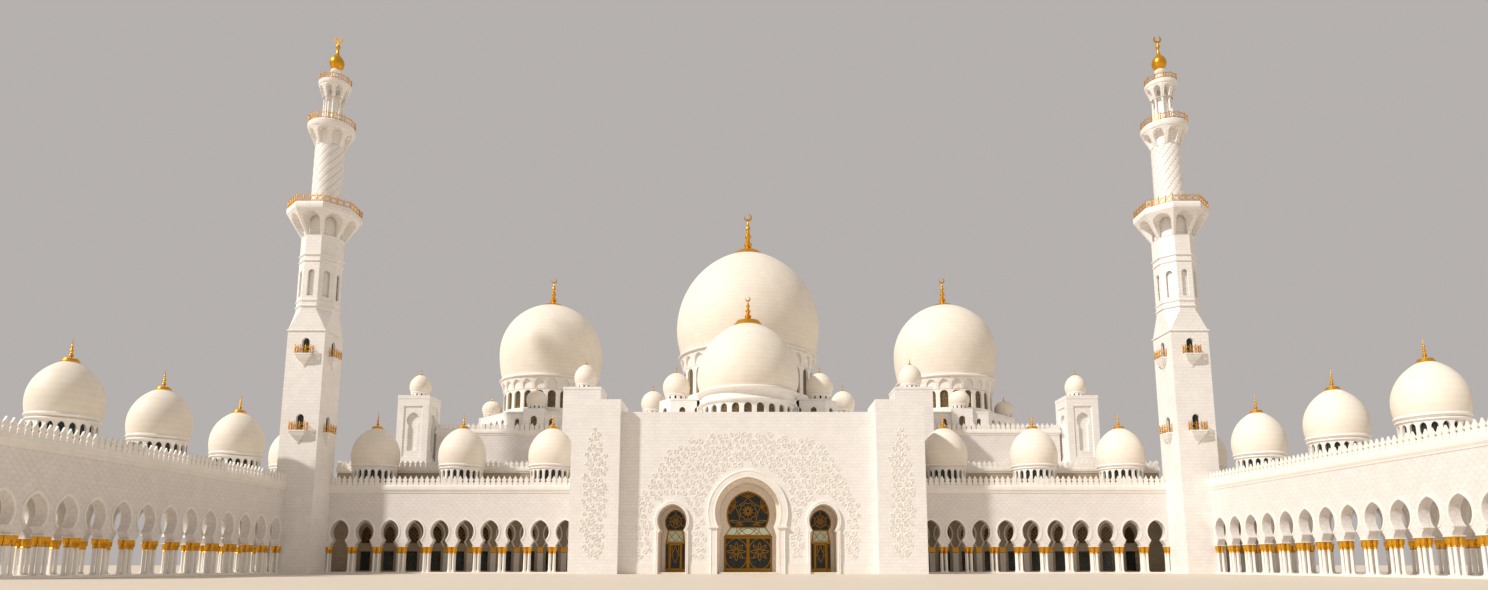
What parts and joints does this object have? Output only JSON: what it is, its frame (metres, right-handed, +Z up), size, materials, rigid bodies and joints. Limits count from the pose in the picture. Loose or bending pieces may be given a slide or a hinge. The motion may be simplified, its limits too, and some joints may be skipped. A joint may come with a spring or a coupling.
{
  "type": "mosque building, a scale model at 1:10",
  "caption": "White domed mosque at 1:10 with a portal with hinged doors, a hollow hall, arcades, galleries and slender minarets.",
  "frame": {"origin": "middle of the portal's front line on the ground, which is also the middle of the plan", "axes": "+X to the right seen from the front, +Y back into the building, +Z up"},
  "size_m": [19.1, 12, 10.7],
  "materials": {
    "marble": "honed white marble cladding",
    "column_marble": "polished white marble",
    "gold": "gilded and polished",
    "bronze_and_glass": "gilded bronze tracery over dark glass"
  },
  "bodies": {
    "building": {"portal_wall": "marble", "left_pylon": "marble", "right_pylon": "marble", "vestibule": "marble", "hall_lower_walls": "marble", "left_lower_roof": "marble", "right_lower_roof": "marble", "hall_upper_walls": "marble", "upper_roof": "marble", "main_base": "marble", "main_drum": "marble", "main_dome": "marble", "left_base": "marble", "left_drum": "marble", "left_dome": "marble", "right_base": "marble", "right_drum": "marble", "right_dome": "marble", "front_drum": "marble", "front_dome": "marble", "left_stair_tower": "marble", "left_roof_tower": "marble", "right_stair_tower": "marble", "right_roof_tower": "marble", "left_wing_inner_wall": "marble", "left_wing_outer_wall": "marble", "left_wing_roof": "marble", "right_wing_inner_wall": "marble", "right_wing_outer_wall": "marble", "right_wing_roof": "marble", "left_arcade_wall": "marble", "left_arcade_roof": "marble", "right_arcade_wall": "marble", "right_arcade_roof": "marble", "left_minaret_tower": "marble", "left_minaret_shaft": "marble", "left_minaret_lantern": "marble", "right_minaret_tower": "marble", "right_minaret_shaft": "marble", "right_minaret_lantern": "marble", "hall_floor": "column_marble", "left_wing_columns": "column_marble", "right_wing_columns": "column_marble", "left_arcade_columns": "column_marble", "right_arcade_columns": "column_marble", "main_finial": "gold", "main_fanlight": "bronze_and_glass", "left_side_screen": "bronze_and_glass", "right_side_screen": "bronze_and_glass"},
    "main_leaf_left": {"main_door_left": "bronze_and_glass"},
    "main_leaf_right": {"main_door_right": "bronze_and_glass"},
    "side_leaf_left": {"left_side_door": "bronze_and_glass"},
    "side_leaf_right": {"right_side_door": "bronze_and_glass"}
  },
  "joints": [
    {"name": "main_leaf_left_swing", "type": "hinge", "parent": "building", "child": "main_leaf_left", "pos_m": [-0.441, 0.95, 0.03], "axis": [0, 0, 1], "range_deg": [0, 90]},
    {"name": "main_leaf_right_swing", "type": "hinge", "parent": "building", "child": "main_leaf_right", "pos_m": [0.441, 0.95, 0.03], "axis": [0, 0, -1], "range_deg": [0, 90]},
    {"name": "side_leaf_left_swing", "type": "hinge", "parent": "building", "child": "side_leaf_left", "pos_m": [-1.476, 0.95, 0.03], "axis": [0, 0, 1], "range_deg": [0, 90]},
    {"name": "side_leaf_right_swing", "type": "hinge", "parent": "building", "child": "side_leaf_right", "pos_m": [1.476, 0.95, 0.03], "axis": [0, 0, -1], "range_deg": [0, 90]}
  ]
}
